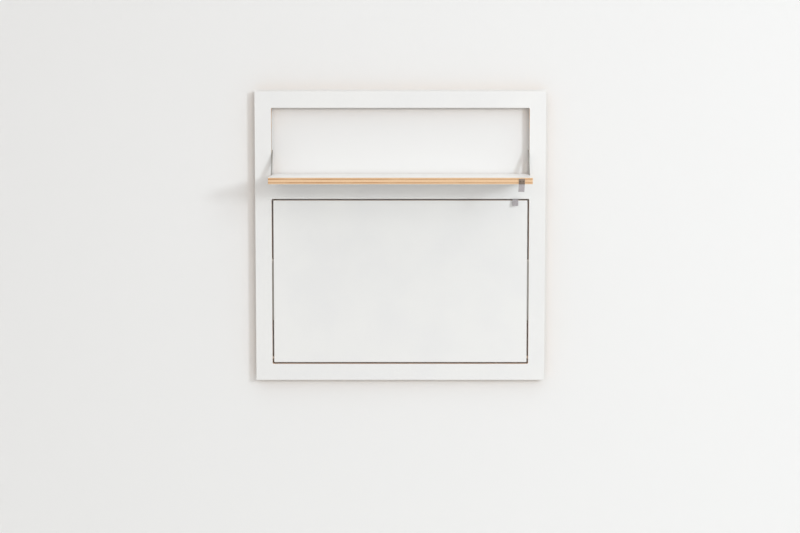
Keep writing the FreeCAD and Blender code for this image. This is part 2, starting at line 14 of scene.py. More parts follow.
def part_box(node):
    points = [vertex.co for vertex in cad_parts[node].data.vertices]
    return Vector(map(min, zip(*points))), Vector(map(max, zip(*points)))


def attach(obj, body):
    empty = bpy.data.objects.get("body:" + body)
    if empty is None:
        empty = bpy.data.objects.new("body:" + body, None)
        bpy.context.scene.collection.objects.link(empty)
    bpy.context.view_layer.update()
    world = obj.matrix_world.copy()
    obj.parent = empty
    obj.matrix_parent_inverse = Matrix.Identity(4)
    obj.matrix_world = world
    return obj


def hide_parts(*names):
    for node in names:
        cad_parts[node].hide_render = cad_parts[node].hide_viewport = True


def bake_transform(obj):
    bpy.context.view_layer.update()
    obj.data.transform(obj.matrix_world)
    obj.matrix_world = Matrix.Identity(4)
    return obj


MM = 0.001
X, Y, Z = range(3)
RIGHT = Vector((1, 0, 0))

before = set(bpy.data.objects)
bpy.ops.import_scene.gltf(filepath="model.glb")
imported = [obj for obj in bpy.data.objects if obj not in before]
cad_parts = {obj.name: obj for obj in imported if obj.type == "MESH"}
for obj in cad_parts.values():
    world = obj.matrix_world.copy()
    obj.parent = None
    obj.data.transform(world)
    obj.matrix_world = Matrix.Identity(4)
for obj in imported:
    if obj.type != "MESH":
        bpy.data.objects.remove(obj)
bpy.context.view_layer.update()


def srgb(red, green, blue):
    """A colour given in 0-255 as the linear RGBA that shaders take, by the sRGB curve."""

    def linear(level):
        share = level / 255
        return share / 12.92 if share <= 0.04045 else ((share + 0.055) / 1.055) ** 2.4

    return (linear(red), linear(green), linear(blue), 1.0)


def shaded(colour, share):
    """The colour at a share of its brightness."""
    return tuple(share * level for level in colour[:3]) + (1.0,)


def centre_of(node):
    """The middle of a CAD node's box."""
    low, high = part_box(node)
    return (low + high) / 2


# ---- shader nodes

# Sockets of a Mix node, which have the same names and so go by their places
FACTOR, NUMBER_A, NUMBER_B, COLOUR_A, COLOUR_B = 0, 2, 3, 6, 7
MIXED_COLOUR = 2


class Nodes:
    """A node tree that grows by short calls, each of which returns an output socket."""

    def __init__(self, tree):
        self.tree = tree

    def feed(self, node, inputs):
        """Links the sockets among the inputs to the node, and sets the others as its values."""
        for key, fed in inputs.items():
            if isinstance(fed, bpy.types.NodeSocket):
                self.tree.links.new(fed, node.inputs[key])
            else:
                node.inputs[key].default_value = fed

    def add(self, kind, inputs, output=0, **settings):
        node = self.tree.nodes.new(f"ShaderNode{kind}")
        for name, setting in settings.items():
            setattr(node, name, setting)
        self.feed(node, inputs)
        return node.outputs[output]

    def math(self, operation, *values):
        return self.add("Math", dict(enumerate(values)), operation=operation)

    def place(self, kind="Object"):
        """Texture coordinates of that kind."""
        return self.add("TexCoord", {}, output=kind)

    def ray(self, fact):
        """What the light path says of the ray, such as "Is Camera Ray"."""
        return self.add("LightPath", {}, output=fact)

    def scaled(self, vector, factors):
        return self.add("VectorMath", {0: vector, 1: factors}, operation="MULTIPLY")

    def parts(self, vector):
        """The X, Y and Z of a vector."""
        node = self.tree.nodes.new("ShaderNodeSeparateXYZ")
        self.tree.links.new(vector, node.inputs[0])
        return node.outputs

    def noise(self, vector, scale, detail=3.0, roughness=0.5):
        """Noise, most of which lies between 0.3 and 0.7; scale is in grains per metre."""
        inputs = {"Vector": vector, "Scale": scale, "Detail": detail, "Roughness": roughness}
        return self.add("TexNoise", inputs)

    def stretched_noise(self, vector, scales, detail, roughness):
        """Noise with its own scale along each axis."""
        return self.noise(self.scaled(vector, scales), 1.0, detail, roughness)

    def ramp(self, fed, low, high, to_low=0.0, to_high=1.0, kind="SMOOTHSTEP"):
        """fed, taken from low...high to to_low...to_high."""
        inputs = {"Value": fed, "From Min": low, "From Max": high}
        inputs.update({"To Min": to_low, "To Max": to_high})
        return self.add("MapRange", inputs, interpolation_type=kind)

    def mix(self, factor, first, second):
        """Two numbers mixed by factor."""
        return self.add("Mix", {FACTOR: factor, NUMBER_A: first, NUMBER_B: second})

    def blend(self, factor, first, second):
        """Two colours mixed by factor."""
        inputs = {FACTOR: factor, COLOUR_A: first, COLOUR_B: second}
        return self.add("Mix", inputs, output=MIXED_COLOUR, data_type="RGBA")

    def bump(self, height, distance, strength=1.0, normal=None):
        """A normal for a relief of that distance, laid over another normal if one is given."""
        inputs = {"Height": height, "Distance": distance, "Strength": strength}
        if normal is not None:
            inputs["Normal"] = normal
        return self.add("Bump", inputs)


class Shader(Nodes):
    """The nodes of a new material."""

    def __init__(self, name):
        self.material = bpy.data.materials.new(name)
        self.material.use_nodes = True
        super().__init__(self.material.node_tree)
        self.tree.nodes.clear()
        self.output = self.tree.nodes.new("ShaderNodeOutputMaterial")

    def surface(self, **inputs):
        """Ends the material in a Principled surface; _ in a name stands for a space."""
        named = {name.replace("_", " "): fed for name, fed in inputs.items()}
        self.end(self.add("BsdfPrincipled", named))
        return self.material

    def end(self, surface):
        self.feed(self.output, {"Surface": surface})


# ---- the board: birch plywood with white laminate on both faces

LAMINATE = 0.7 * MM
DECOR = 0.15 * MM  # the white outside of the laminate
PLY_COUNT = 13

LAMINATE_WHITE = srgb(234, 234, 232)
LAMINATE_CLOUD = srgb(231, 231, 230)
LAMINATE_CORE = srgb(214, 205, 192)
LAMINATE_ROUGHNESS = (0.32, 0.38)
CLOUD_SCALE = 7.0
PEARL_SCALE = 2600.0
PEARL_RELIEF = 0.02 * MM

LONG_GRAIN = srgb(252, 224, 188)
LONG_GRAIN_DARK = srgb(243, 209, 169)
END_GRAIN = srgb(234, 199, 158)
END_GRAIN_DARK = srgb(206, 163, 118)
STREAK_SCALE = (14, 14, 7.3)
FIBRE_SCALE = (260, 900, 3.1)
PORE_SCALE = 4200.0
GRAIN_RELIEF = 0.12 * MM
EXTRA_PLY_ROUGHNESS = 0.4

# A darker veneer at HEART_DEPTH on each side of the middle, which grows paler from left to right
HEART_VENEER = srgb(178, 120, 72)
HEART_DEPTH = 4.8 * MM
HEART_HALF_WIDTH = 2.0 * MM
HEART_CORE = 0.4 * HEART_HALF_WIDTH
HEART_FADE = (-0.28, 0.3)
HEART_FADED = 0.7
HEART_STREAKED = 0.6

# A glue line's half-width is a share of a ply: dark up to the first one, gone at the second
GLUE_LINE = srgb(166, 122, 82)
GLUE_EDGE = (0.03, 0.09)
GLUE_STRENGTH = 0.75


def board_material(name, node, axis):
    """The finish of a CAD node that is a board; axis runs through its thickness."""
    low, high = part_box(node)
    half = (high[axis] - low[axis]) / 2
    shader = Shader(name)
    place = shader.place()
    depth = shader.math("SUBTRACT", shader.parts(place)[axis], centre_of(node)[axis])
    from_middle = shader.math("ABSOLUTE", depth)
    ply_colour, ply_height = plywood(shader, place, depth, half - LAMINATE)

    cloudy = shader.noise(place, CLOUD_SCALE, detail=4.0)
    white = shader.blend(shader.ramp(cloudy, 0.3, 0.7), LAMINATE_WHITE, LAMINATE_CLOUD)
    in_decor = shader.math("GREATER_THAN", from_middle, half - DECOR)
    laminate = shader.blend(in_decor, LAMINATE_CORE, white)
    in_laminate = shader.math("GREATER_THAN", from_middle, half - LAMINATE)
    in_ply = shader.math("SUBTRACT", 1.0, in_laminate)

    pearl = shader.math("MULTIPLY", shader.noise(place, PEARL_SCALE, detail=2.0), in_laminate)
    grain = shader.math("MULTIPLY", ply_height, in_ply)
    grained = shader.bump(grain, GRAIN_RELIEF)
    gloss = shader.ramp(cloudy, 0.2, 0.8, *LAMINATE_ROUGHNESS)
    matt = shader.math("MULTIPLY", in_ply, EXTRA_PLY_ROUGHNESS)
    return shader.surface(
        Base_Color=shader.blend(in_laminate, ply_colour, laminate),
        Roughness=shader.math("ADD", gloss, matt),
        Normal=shader.bump(pearl, PEARL_RELIEF, strength=0.5, normal=grained),
    )


def plywood(shader, place, depth, core_half):
    """Colour and relief of the plies on a cut edge; depth runs from -core_half to core_half."""
    level = shader.ramp(depth, -core_half, core_half, 0, PLY_COUNT, "LINEAR")
    ply = shader.math("FLOOR", level)
    within = shader.math("FRACT", level)

    # 1 where a ply shows its end grain: every second ply, or the others on an edge that faces sideways
    facing = shader.parts(shader.add("NewGeometry", {}, output="Normal"))[X]
    on_side_edge = shader.math("GREATER_THAN", shader.math("ABSOLUTE", facing), 0.5)
    end_on = shader.math("MODULO", shader.math("ADD", ply, on_side_edge), 2.0)

    x, y, z = shader.parts(place)
    strip = shader.add("CombineXYZ", {"X": x, "Y": shader.math("ADD", y, z), "Z": ply})
    streaks = shader.stretched_noise(strip, STREAK_SCALE, detail=4.0, roughness=0.6)
    fibres = shader.stretched_noise(strip, FIBRE_SCALE, detail=5.0, roughness=0.7)
    pores = shader.noise(place, PORE_SCALE, roughness=0.65)

    end_grain = shader.blend(shader.ramp(pores, 0.35, 0.62), END_GRAIN_DARK, END_GRAIN)
    long_grain = shader.blend(shader.ramp(fibres, 0.35, 0.7), LONG_GRAIN_DARK, LONG_GRAIN)
    colour = shader.blend(end_on, long_grain, end_grain)

    from_middle = shader.math("ABSOLUTE", depth)
    off_heart = shader.math("ABSOLUTE", shader.math("SUBTRACT", from_middle, HEART_DEPTH))
    heart = shader.ramp(off_heart, HEART_CORE, HEART_HALF_WIDTH, 1, 0)
    faded = shader.math("MULTIPLY", heart, shader.ramp(x, *HEART_FADE, 1, HEART_FADED))
    streaked = shader.ramp(streaks, 0.35, 0.6, HEART_STREAKED, 1)
    colour = shader.blend(shader.math("MULTIPLY", faded, streaked), colour, HEART_VENEER)

    to_glue = shader.math("MINIMUM", within, shader.math("SUBTRACT", 1.0, within))
    glue = shader.ramp(to_glue, *GLUE_EDGE, GLUE_STRENGTH, 0)
    colour = shader.blend(glue, colour, GLUE_LINE)
    texture = shader.mix(end_on, fibres, pores)
    return colour, shader.math("SUBTRACT", texture, glue)


# ---- metals, plastics, rubber and webbing

# Colours
STRUT_STEEL = srgb(170, 167, 161)
TURNED_STEEL = srgb(176, 172, 166)
DARK_STEEL = srgb(126, 112, 100)
BLUED_STEEL = srgb(92, 82, 74)
ZINC = srgb(206, 203, 196)
BRASS = srgb(205, 170, 105)
ALUMINIUM = srgb(205, 206, 208)
NICKEL = srgb(214, 208, 196)
NYLON = srgb(226, 222, 212)
RUBBER = srgb(38, 38, 39)

# How metals are worked, as the scales of their scratches along X, Y and Z
FINE = 2400
LONG = 40
DRAWN_ALONG_X = (LONG, FINE, FINE)
DRAWN_ALONG_Z = (FINE, FINE, LONG)
TURNED_ABOUT_X = (FINE, 300, 300)
PLATED = (900, 900, 900)
POLISHED = (700, 700, 700)

SCRATCH_SHADE = 0.6
SCRATCH_STRENGTH = 0.35
SCRATCH_RELIEF = 0.015 * MM
SMUDGE_SCALE = 45.0
METAL_ROUGHNESS = (-0.07, 0.1)  # around the roughness given

MOULD_GRAIN_SCALE = 1800.0
MOULD_CLOUD_SCALE = 60.0
MOULD_ROUGHNESS = (-0.08, 0.08)

WARP_PITCH = 1.6 * MM
WEBBING_PALE = srgb(195, 190, 192)
WEBBING_GREY = srgb(170, 164, 166)
WEBBING_SHADE = srgb(102, 96, 96)
YARN_SCALE = (9000, 2200, 1)
YARN_RELIEF = 0.05 * MM
YARN_SHADE = 0.4
RIB_SHADE = 0.3
MELANGE_SCALE = (900, 260, 1)


def spread(level, around):
    """The levels that lie around a level by the given steps."""
    return [level + step for step in around]


def metal(name, colour, scratches, roughness=0.32, dirt=0.12):
    """Metal with fine scratches; dirt is how far its smudges darken it."""
    shader = Shader(name)
    place = shader.place()
    lines = shader.stretched_noise(place, scratches, detail=6.0, roughness=0.7)
    smudges = shader.noise(place, SMUDGE_SCALE)
    dark = shaded(colour, SCRATCH_SHADE)
    tone = shader.blend(shader.ramp(smudges, 0.45, 0.75, 0, dirt), colour, dark)
    return shader.surface(
        Base_Color=shader.blend(shader.ramp(lines, 0.4, 0.75, 0, SCRATCH_STRENGTH), tone, dark),
        Metallic=1.0,
        Roughness=shader.ramp(lines, 0.3, 0.7, *spread(roughness, METAL_ROUGHNESS)),
        Normal=shader.bump(lines, SCRATCH_RELIEF, strength=0.6),
    )


def moulded(name, colour, roughness, relief, shade):
    """Plastic or rubber with a fine moulded grain; shade is the share it darkens to in patches."""
    shader = Shader(name)
    place = shader.place()
    fine = shader.noise(place, MOULD_GRAIN_SCALE)
    broad = shader.ramp(shader.noise(place, MOULD_CLOUD_SCALE), 0.35, 0.7)
    return shader.surface(
        Base_Color=shader.blend(broad, colour, shaded(colour, shade)),
        Roughness=shader.ramp(fine, 0.3, 0.7, *spread(roughness, MOULD_ROUGHNESS)),
        Normal=shader.bump(fine, relief),
    )


def webbing_material():
    """Grey woven webbing; the UV map runs in metres across and along the strap."""
    shader = Shader("grey_webbing")
    place = shader.place("UV")
    across = shader.parts(place)[X]
    yarn = shader.stretched_noise(place, YARN_SCALE, detail=4.0, roughness=0.7)
    melange = shader.stretched_noise(place, MELANGE_SCALE, detail=3.0, roughness=0.6)
    rib = shader.math("SINE", shader.math("MULTIPLY", across, 2 * math.pi / WARP_PITCH))
    tone = shader.blend(shader.ramp(melange, 0.35, 0.65), WEBBING_GREY, WEBBING_PALE)
    tone = shader.blend(shader.ramp(yarn, 0.35, 0.6, YARN_SHADE, 0), tone, WEBBING_SHADE)
    return shader.surface(
        Base_Color=shader.blend(shader.ramp(rib, -1, -0.5, RIB_SHADE, 0), tone, WEBBING_SHADE),
        Roughness=0.85,
        Sheen_Weight=0.2,
        Normal=shader.bump(yarn, YARN_RELIEF),
    )


# ---- finishes of the CAD parts


def finish_nodes(words, material):
    """Gives the material to every CAD node whose name holds one of the words."""
    for name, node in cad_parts.items():
        if any(word in name for word in words):
            node.data.materials.clear()
            node.data.materials.append(material)


def finish_cad_parts():
    """Finishes all that the CAD model shows; where words of two finishes fit, the later one counts."""
    boards = (
        ("frame", "frame_board", Y),
        ("desk_panel", "desk_board", Y),
        ("shelf_panel", "shelf_board", Z),
    )
    for node, name, axis in boards:
        finish_nodes((node,), board_material(name, node, axis))
    brushed = metal("brushed_steel", STRUT_STEEL, DRAWN_ALONG_Z)
    finish_nodes(("shelf_strut", "desk_strut"), brushed)
    turned = metal("turned_steel", TURNED_STEEL, TURNED_ABOUT_X, roughness=0.28)
    finish_nodes(("hinge_pin", "strut_pin", "guide_pin"), turned)
    brass = metal("turned_brass", BRASS, TURNED_ABOUT_X, roughness=0.3)
    finish_nodes(("bush",), brass)
    nylon = moulded("natural_nylon", NYLON, roughness=0.45, relief=0.01 * MM, shade=0.94)
    finish_nodes(("spacer", "washer"), nylon)
    aluminium = metal("mill_aluminium", ALUMINIUM, DRAWN_ALONG_X, roughness=0.38)
    finish_nodes(("channel", "_rail"), aluminium)
    nickel = metal("nickel", NICKEL, POLISHED, roughness=0.18, dirt=0.3)
    finish_nodes(("magnet",), nickel)


# ---- meshes

WELD_DISTANCE = 1e-7  # a tenth of a micron


def make_piece(name, build, material, nodes, body=None):
    """An object that build fills as a bmesh, smooth and with its normals outwards.

    It stands for CAD nodes, and rides on a body if one is given.
    """
    grid = bmesh.new()
    build(grid)
    bmesh.ops.remove_doubles(grid, verts=grid.verts, dist=WELD_DISTANCE)
    bmesh.ops.recalc_face_normals(grid, faces=grid.faces)
    mesh = bpy.data.meshes.new(name)
    grid.to_mesh(mesh)
    grid.free()
    mesh.shade_smooth()
    mesh.materials.append(material)
    piece = bpy.data.objects.new(name, mesh)
    bpy.context.scene.collection.objects.link(piece)
    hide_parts(*nodes)
    if body:
        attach(piece, body)
    return piece


def skin(grid, rings):
    """Faces between rings of vertices, and one at each end."""
    for first, second in zip(rings, rings[1:]):
        for index in range(len(first)):
            after = (index + 1) % len(first)
            grid.faces.new((first[index], first[after], second[after], second[index]))
    grid.faces.new(rings[0])
    grid.faces.new(rings[-1])


def turned_ring(grid, place, radius, heights):
    """A ring of vertices about the Z axis of place, one for each of the heights."""
    ring = []
    for index, height in enumerate(heights):
        turn = 2 * math.pi * index / len(heights)
        point = Vector((radius * math.cos(turn), radius * math.sin(turn), height))
        ring.append(grid.verts.new(place @ point))
    return ring


def turned_rings(grid, place, profile, sides):
    """A level ring for each (radius, height) of a profile."""
    return [turned_ring(grid, place, radius, [height] * sides) for radius, height in profile]


def standing(point, direction):
    """A place at a point whose Z axis has the given direction."""
    turn = Vector(direction).to_track_quat("Z", "Y").to_matrix().to_4x4()
    return Matrix.Translation(point) @ turn


# ---- the pull tabs

WEFT_PITCH = 1.1 * MM
WEAVE_RELIEF = 0.09 * MM
STRAP_STEP = 0.28 * MM
STRAP_BODY = 0.9  # the strap's share of its CAD solid's thickness, which leaves room for the weave
EDGE_STEP = 30  # degrees between the points round the strap's edge
SEALED_SHARE = 0.4  # the thickness left at the heat-sealed ends, which grows by SEALED_RISE a step
SEALED_RISE = 1 / 3

TOWARDS_ROOM = math.pi
DOWN = 1.5 * math.pi

# Runs of the straps beyond their roots, as (length, turn in degrees), and how far a strap's end drifts
# along X
SHELF_TAB_BENDS = ((1 * MM, 30), (1.6 * MM, -42), (9 * MM, 8), (8 * MM, -4))
SHELF_TAB_DRIFT = -1.6 * MM
DESK_TAB_BENDS = ((2.2 * MM, -66), (5 * MM, 134), (8 * MM, 6), (8 * MM, 2))
DESK_TAB_DRIFT = -0.4 * MM


def strap_section(width, thickness):
    """Points round the strap's cross-section as (across, out)."""
    flat, round_edge = width - thickness, thickness / 2
    steps = round(flat / STRAP_STEP)
    side = [(flat * (index / steps - 0.5), round_edge) for index in range(steps + 1)]
    for angle in range(90 - EDGE_STEP, -90, -EDGE_STEP):
        turn = math.radians(angle)
        side.append((flat / 2 + round_edge * math.cos(turn), round_edge * math.sin(turn)))
    return side + [(-across, -out) for across, out in side]


def strap_route(y, z, heading, runs):
    """Stations one step apart along runs of (length, turn in degrees), as (y, z, normal angle)."""
    route = [(y, z, heading - math.pi / 2)]
    for length, turn in runs:
        steps = round(length / STRAP_STEP)
        for _ in range(steps):
            heading += math.radians(turn) / steps
            y += STRAP_STEP * math.cos(heading)
            z += STRAP_STEP * math.sin(heading)
            route.append((y, z, heading - math.pi / 2))
    return route


def weave(across, along):
    """How far the webbing's surface stands out at a point of the strap."""
    warp = math.sin(2 * math.pi * across / WARP_PITCH)
    return WEAVE_RELIEF * warp * math.sin(2 * math.pi * along / WEFT_PITCH)


def strap_builder(middle_x, route, drift, width, thickness):
    """What builds a woven strap along a route, with its end drifted sideways."""
    section = strap_section(width, thickness)
    last = len(route) - 1

    def build(grid):
        uv_map = grid.loops.layers.uv.new("UVMap")
        rows, places = [], {}
        for station, (y, z, angle) in enumerate(route):
            along = station * STRAP_STEP
            middle = middle_x + drift * (station / last) ** 2
            sealed = min(1.0, SEALED_SHARE + SEALED_RISE * min(station, last - station))
            row = []
            for across, out in section:
                side = 2 * out / thickness
                proud = sealed * (out + side * weave(across, along))
                point = (middle + across, y + proud * math.cos(angle), z + proud * math.sin(angle))
                row.append(grid.verts.new(point))
                places[row[-1]] = (across, along)
            rows.append(row)
        skin(grid, rows)
        for face in grid.faces:
            for loop in face.loops:
                loop[uv_map].uv = places[loop.vert]

    return build


def make_tab(flap, heading, bends, drift, webbing):
    """A flap's pull tab: its root lies under the plate, and its tail hangs from the flap's edge."""
    root, tail = f"{flap}_tab_root", f"{flap}_tab_end"
    root_low, root_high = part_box(root)
    tail_low, tail_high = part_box(tail)
    root_length = max(root_high.y - root_low.y, root_high.z - root_low.z)
    centre = centre_of(root)
    along = Vector((0, math.cos(heading), math.sin(heading)))
    start = centre - along * root_length / 2
    route = strap_route(start.y, start.z, heading, [(root_length, 0), *bends])
    width, thickness = tail_high.x - tail_low.x, tail_high.y - tail_low.y
    build = strap_builder(centre.x, route, drift, width, STRAP_BODY * thickness)
    piece = make_piece(f"{flap}_pull_tab", build, webbing, (root, tail))
    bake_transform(piece)


# ---- the plates that clamp the tabs

PLATE_CORNER = 1.2 * MM
PLATE_ROUND = 0.25 * MM
QUARTER_STEPS = 6


def rounded_outline(half_width, half_length, corner):
    """Corners and arcs of a rounded rectangle, as (across, along)."""
    outline = []
    for quarter, (side, end) in enumerate(((1, 1), (-1, 1), (-1, -1), (1, -1))):
        for step in range(QUARTER_STEPS + 1):
            turn = math.pi / 2 * (quarter + step / QUARTER_STEPS)
            across = side * (half_width - corner) + corner * math.cos(turn)
            along = end * (half_length - corner) + corner * math.sin(turn)
            outline.append((across, along))
    return outline


def make_tab_plate(flap, out, dark_steel):
    """The stamped plate that clamps a tab, with rounded corners and edges; out is its outer side."""
    node = f"{flap}_tab_plate"
    low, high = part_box(node)
    out = Vector(out)
    size = high - low
    along = out.cross(RIGHT)
    thickness = abs(size.dot(out))
    half_width, half_length = size.x / 2, abs(size.dot(along)) / 2
    seat = (low + high - out * thickness) / 2

    def build(grid):
        levels = [(0, 0)]
        for step in range(QUARTER_STEPS + 1):
            turn = math.pi / 2 * step / QUARTER_STEPS
            inset = PLATE_ROUND * (1 - math.cos(turn))
            levels.append((inset, thickness - PLATE_ROUND * (1 - math.sin(turn))))
        rings = []
        for inset, height in levels:
            corner = PLATE_CORNER - inset
            outline = rounded_outline(half_width - inset, half_length - inset, corner)
            ring = [Vector((across, 0, 0)) + along * reach for across, reach in outline]
            rings.append([grid.verts.new(seat + point + out * height) for point in ring])
        skin(grid, rings)

    make_piece(f"{node}_stamped", build, dark_steel, (node,), f"{flap}_flap")


# ---- screws

SCREW_SIDES = 64

# A pan head with a cross recess: shares of the head's radius across, and of its height in depth
HEAD_BANDS = 22
HEAD_MIDDLE = 0.01  # the innermost ring
HEAD_FALL = 0.45  # from the dome's middle to its rim
HEAD_RIM = 0.1  # the rim's lower edge
HEAD_SEAT = 0.97  # the underside
RECESS_HALF_WIDTH = 0.13
RECESS_REACH = 0.58
RECESS_DEPTH = 0.6
RECESS_SIDE_SLOPE = 0.4  # a share of the recess's half-width
RECESS_END_SLOPE = 0.3  # a share of its reach

# The thread: its pitch is a share of the shank's diameter, and the rest are shares of its radius
THREAD_PITCH = 0.4
THREAD_ROOT = 0.78
TIP_START = 0.6
TIP_END = 0.05


def cross_recess(radius, turn, head_radius):
    """How deep the cross recess is at a point of a screw's head, from 0 to 1."""
    x, y = abs(radius * math.cos(turn)), abs(radius * math.sin(turn))
    half_width, reach = RECESS_HALF_WIDTH * head_radius, RECESS_REACH * head_radius
    side = (half_width - min(x, y)) / (RECESS_SIDE_SLOPE * half_width)
    end = (reach - max(x, y)) / (RECESS_END_SLOPE * reach)
    return min(max(side, 0), 1) * min(max(end, 0), 1)


def head_heights(share, head_radius, head_height):
    """Heights of the dome with its recess, round a screw's head at a share of its radius."""
    dome = head_height * (1 - HEAD_FALL * share**4)
    depth = RECESS_DEPTH * head_height
    radius = share * head_radius
    turns = [2 * math.pi * index / SCREW_SIDES for index in range(SCREW_SIDES)]
    return [dome - depth * cross_recess(radius, turn, head_radius) for turn in turns]


def build_screw(grid, place, head, head_height, shank, length):
    """A pan-head screw; place has its origin under the head and +Z out of the hole."""
    head_radius, thread = head / 2, shank / 2
    rings = []
    for band in range(HEAD_BANDS + 1):
        share = max(band / HEAD_BANDS, HEAD_MIDDLE)
        heights = head_heights(share, head_radius, head_height)
        rings.append(turned_ring(grid, place, share * head_radius, heights))
    pitch = THREAD_PITCH * shank
    turns = int((length - shank) / pitch)
    profile = [(head_radius, HEAD_RIM * head_height), (HEAD_SEAT * head_radius, 0)]
    for turn in range(turns):
        profile += [(thread, -turn * pitch), (THREAD_ROOT * thread, -(turn + 0.5) * pitch)]
    profile += [(TIP_START * thread, -turns * pitch), (TIP_END * thread, -length)]
    skin(grid, rings + turned_rings(grid, place, profile, SCREW_SIDES))


def make_screws(node, out, count, head_height, shank, body, material):
    """An even row of screws along X that stands for a CAD node; out points out of the holes."""
    low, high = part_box(node)
    out = Vector(out)
    size, centre = high - low, (low + high) / 2
    reach = abs(size.dot(out))
    head = abs(size.dot(out.cross(RIGHT)))
    seat = centre + out * (reach / 2 - head_height)

    def build(grid):
        for index in range(count):
            along = (size.x - head) * (index / (count - 1) - 0.5)
            place = standing(seat + along * RIGHT, out)
            build_screw(grid, place, head, head_height, shank, reach - head_height)

    make_piece(f"{node}_pan_head", build, material, (node,), body)


# ---- buffers

BUFFER_RADIUS = 12.5 * MM
BUFFER_ROUND = 1.6 * MM
BUFFER_EDGE = 0.3 * MM
BUFFER_FOOT = 0.6 * MM
BUFFER_WELL_RADIUS = 4.5 * MM
BUFFER_WELL_DEPTH = 3.2 * MM
BUFFER_WELL_FLOOR = 0.94  # the flat of the well's floor, as a share of its radius
BUFFER_MIDDLE = 0.02  # the innermost ring, as a share of the well's or the foot's radius
BUFFER_SIDES = 72
BUFFER_STEP = 15  # degrees between the points of its rounded rim
BUFFER_SCREW = {"head": 7.4 * MM, "head_height": 1.8 * MM, "shank": 3 * MM, "length": 3.6 * MM}


def buffer_places(low, high):
    """Where each buffer stands on the frame's back, with +Z towards the wall."""
    xs = (low.x + BUFFER_RADIUS, high.x - BUFFER_RADIUS)
    zs = (low.z + BUFFER_RADIUS, high.z - BUFFER_RADIUS)
    return [standing((x, low.y, z), (0, 1, 0)) for x in xs for z in zs]


def buffer_profile(height):
    """The rubber's (radius, height) outline, from the well's middle round to the board."""
    floor = height - BUFFER_WELL_DEPTH
    profile = [
        (BUFFER_MIDDLE * BUFFER_WELL_RADIUS, floor),
        (BUFFER_WELL_FLOOR * BUFFER_WELL_RADIUS, floor),
        (BUFFER_WELL_RADIUS, floor + BUFFER_EDGE),
        (BUFFER_WELL_RADIUS, height - BUFFER_EDGE),
        (BUFFER_WELL_RADIUS + BUFFER_EDGE, height),
    ]
    for angle in range(0, 90 + BUFFER_STEP, BUFFER_STEP):
        turn = math.radians(angle)
        radius = BUFFER_RADIUS - BUFFER_ROUND * (1 - math.sin(turn))
        profile.append((radius, height - BUFFER_ROUND * (1 - math.cos(turn))))
    return profile + [
        (BUFFER_RADIUS, BUFFER_FOOT),
        (BUFFER_RADIUS - BUFFER_EDGE, 0),
        (BUFFER_MIDDLE * BUFFER_RADIUS, 0),
    ]


def make_buffers(rubber, zinc):
    """Rubber buffers at the frame's corners, each with a screw in its well."""
    low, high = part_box("wall_buffers")
    height = high.y - low.y
    places = buffer_places(low, high)
    sunk = Matrix.Translation((0, 0, height - BUFFER_WELL_DEPTH))

    def build_pads(grid):
        for place in places:
            skin(grid, turned_rings(grid, place, buffer_profile(height), BUFFER_SIDES))

    def build_screws(grid):
        for place in places:
            build_screw(grid, place @ sunk, **BUFFER_SCREW)

    make_piece("wall_buffer_pads", build_pads, rubber, ("wall_buffers",), "wall_frame")
    make_piece("wall_buffer_screws", build_screws, zinc, (), "wall_frame")


# ---- the pieces that stand for CAD nodes


def make_pieces():
    """The pull tabs with their plates and screws, the hook rail's screws and the buffers."""
    webbing = webbing_material()
    make_tab("shelf", DOWN, SHELF_TAB_BENDS, SHELF_TAB_DRIFT, webbing)
    make_tab("desk", TOWARDS_ROOM, DESK_TAB_BENDS, DESK_TAB_DRIFT, webbing)

    dark_steel = metal("dark_steel", DARK_STEEL, DRAWN_ALONG_X, roughness=0.42)
    blued_steel = metal("blued_steel", BLUED_STEEL, PLATED, roughness=0.45)
    for flap, out in (("shelf", (0, -1, 0)), ("desk", (0, 0, 1))):
        make_tab_plate(flap, out, dark_steel)
        make_screws(
            f"{flap}_tab_screws",
            out,
            count=2,
            head_height=0.5 * MM,
            shank=2 * MM,
            body=f"{flap}_flap",
            material=blued_steel,
        )

    zinc = metal("zinc_plated", ZINC, PLATED, roughness=0.3)
    make_screws(
        "hook_rail_screws",
        (0, 1, 0),
        count=6,
        head_height=2.2 * MM,
        shank=3.5 * MM,
        body="wall_frame",
        material=zinc,
    )
    rubber = moulded("black_rubber", RUBBER, roughness=0.72, relief=0.03 * MM, shade=0.75)
    make_buffers(rubber, zinc)


# ---- the room: wall and floor

WALL_WHITE = srgb(235, 235, 234)
FLOOR_WHITE = srgb(224, 224, 223)
# painted shade that keeps the brightly lit floor out in the room from glaring
FLOOR_PAINTED_SHADE = srgb(182, 182, 181)
FLOOR_PAINTED_SHADE_SPAN = (-1.0, -3.6)  # painted shade: the floor turns grey between these Y, out in the room where it is lit more brightly than by the wall
ROLLER_SCALE = 160.0
ROLLER_RELIEF = 0.05 * MM
ROOM_HALF_WIDTH = 7.0
ROOM_DEPTH = 8.0
FLOOR_HEIGHT = -2.2
WALL_TOP = 3.0
WALL_BEHIND = 0.4 * MM
BACK_REACH = 11 * MM


def make_sheet(name, corners, material):
    """A flat surface of the room through four corners."""
    mesh = bpy.data.meshes.new(name)
    mesh.from_pydata(corners, [], [(0, 1, 2, 3)])
    sheet = bpy.data.objects.new(name, mesh)
    bpy.context.scene.collection.objects.link(sheet)
    mesh.materials.append(material)


def painted(name, colour, painted_shade_colour=None):
    """Matt paint with a faint roller texture; a second colour, if given, is painted shade that it
    turns to away from the wall.
    """
    shader = Shader(name)
    place = shader.place()
    if painted_shade_colour:
        # painted shade: darker away from the wall, where more light falls on the floor
        painted_shade_share = shader.ramp(shader.parts(place)[Y], *FLOOR_PAINTED_SHADE_SPAN)
        colour = shader.blend(painted_shade_share, colour, painted_shade_colour)
    roller = shader.noise(place, ROLLER_SCALE, detail=4.0)
    rolled = shader.bump(roller, ROLLER_RELIEF, strength=0.4)
    return shader, shader.add("BsdfDiffuse", {"Color": colour, "Normal": rolled})


